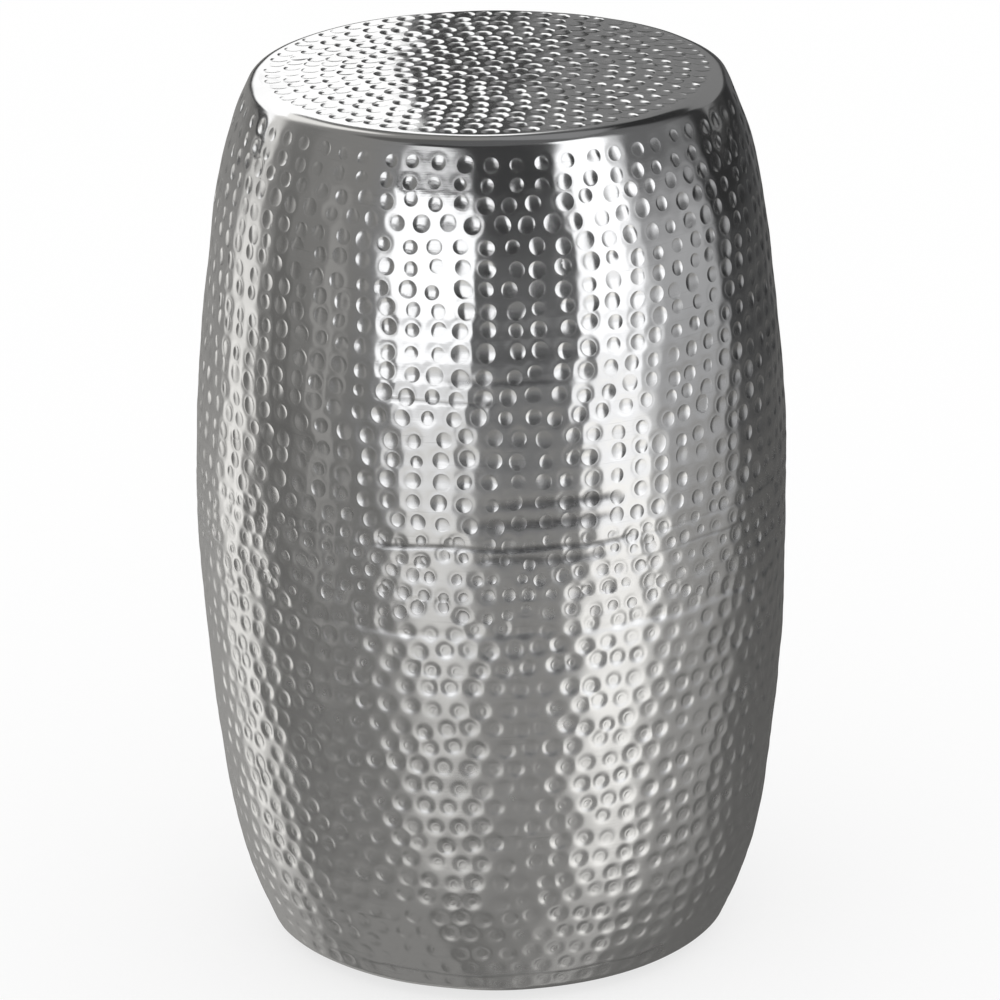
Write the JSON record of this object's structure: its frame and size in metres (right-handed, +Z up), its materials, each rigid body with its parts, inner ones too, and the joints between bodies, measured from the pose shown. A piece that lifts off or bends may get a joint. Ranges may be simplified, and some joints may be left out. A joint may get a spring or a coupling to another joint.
{
  "type": "drum side table",
  "caption": "Barrel-shaped side table or stool: a hammered polished aluminium drum with a flat round top, welded from spun cups, on rubber feet.",
  "frame": {"origin": "the point of the floor under the middle of the drum", "axes": "+Z up along the drum's axis; the drum is round, and its feet stand at 45 degrees to X and Y"},
  "size_m": [0.316, 0.316, 0.48],
  "materials": {
    "hammered_aluminium": "hammered and polished to a satin sheen",
    "mill_aluminium": "plain mill finish",
    "foot_rubber": "matte",
    "zinc_steel": "zinc plated"
  },
  "bodies": {
    "root": {"upper_shell": "hammered_aluminium", "lower_shell": "hammered_aluminium", "seam_weld": "hammered_aluminium", "joint_band": "mill_aluminium", "foot_1": "foot_rubber", "foot_2": "foot_rubber", "foot_3": "foot_rubber", "foot_4": "foot_rubber", "foot_washers": "zinc_steel", "foot_screws": "zinc_steel"}
  },
  "joints": []
}
